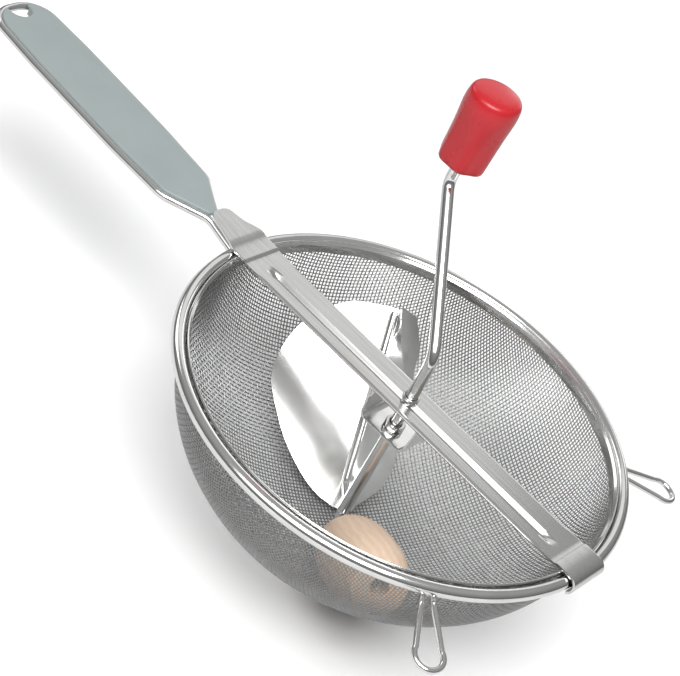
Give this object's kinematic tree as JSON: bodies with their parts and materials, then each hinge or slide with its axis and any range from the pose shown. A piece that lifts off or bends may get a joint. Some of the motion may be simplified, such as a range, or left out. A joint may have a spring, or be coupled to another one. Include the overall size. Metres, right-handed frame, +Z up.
{
  "type": "food mill",
  "caption": "Rotary food mill with a wire-cloth bowl, a crossbar with a bent crank and red knob, a folded blade and a wooden roller.",
  "frame": {"origin": "centre of the rim bead's circle, on the crank's upright axis", "axes": "+Z up along the crank's axis, -X along the handle, +X to the crossbar's hook"},
  "size_m": [0.4305, 0.24, 0.2325],
  "materials": {
    "polished_steel": "polished wire and rod",
    "wire_cloth": "woven wire",
    "pressed_steel": "satin sheet",
    "blade_steel": "mirror-bright sheet",
    "grey_green_grip": "smooth satin",
    "red_knob": "moulded, soft gloss",
    "beech": "turned, unvarnished"
  },
  "bodies": {
    "sieve": {"mesh_bowl": "wire_cloth", "rim_bead": "polished_steel", "rim_lip": "pressed_steel", "handle_wire": "polished_steel", "handle_grip": "grey_green_grip", "rest_loop_front": "polished_steel", "rest_loop_rear": "polished_steel"},
    "bridge": {"crossbar": "pressed_steel", "bearing_stirrup": "blade_steel", "lower_bush": "polished_steel"},
    "crank": {"crank_rod": "polished_steel", "thrust_collar": "polished_steel", "shaft_washer": "polished_steel", "shaft_pin": "polished_steel", "knob_stop": "polished_steel", "roller_clip": "polished_steel", "roller_stop": "polished_steel", "blade": "blade_steel", "blade_spine": "polished_steel"},
    "knob": {"knob": "red_knob"},
    "roller": {"roller": "beech"}
  },
  "joints": [
    {"name": "bridge_release", "type": "hinge", "parent": "sieve", "child": "bridge", "pos_m": [0.1167, 0, 0], "axis": [0, 1, 0], "range_deg": [0, 45]},
    {"name": "crank_turn", "type": "hinge", "parent": "bridge", "child": "crank", "pos_m": [0, 0, 0], "axis": [0, 0, 1], "continuous": true},
    {"name": "knob_spin", "type": "hinge", "parent": "crank", "child": "knob", "pos_m": [-0.0587, 0.04669, 0.0935], "axis": [0, 0, 1], "continuous": true},
    {"name": "roller_spin", "type": "hinge", "parent": "crank", "child": "roller", "pos_m": [0.03599, -0.03549, -0.06119], "axis": [0.616, -0.6075, 0.5015], "continuous": true}
  ],
  "couplings": [
    {"joint": "roller_spin", "follows": "crank_turn", "ratio": -3.0901}
  ]
}
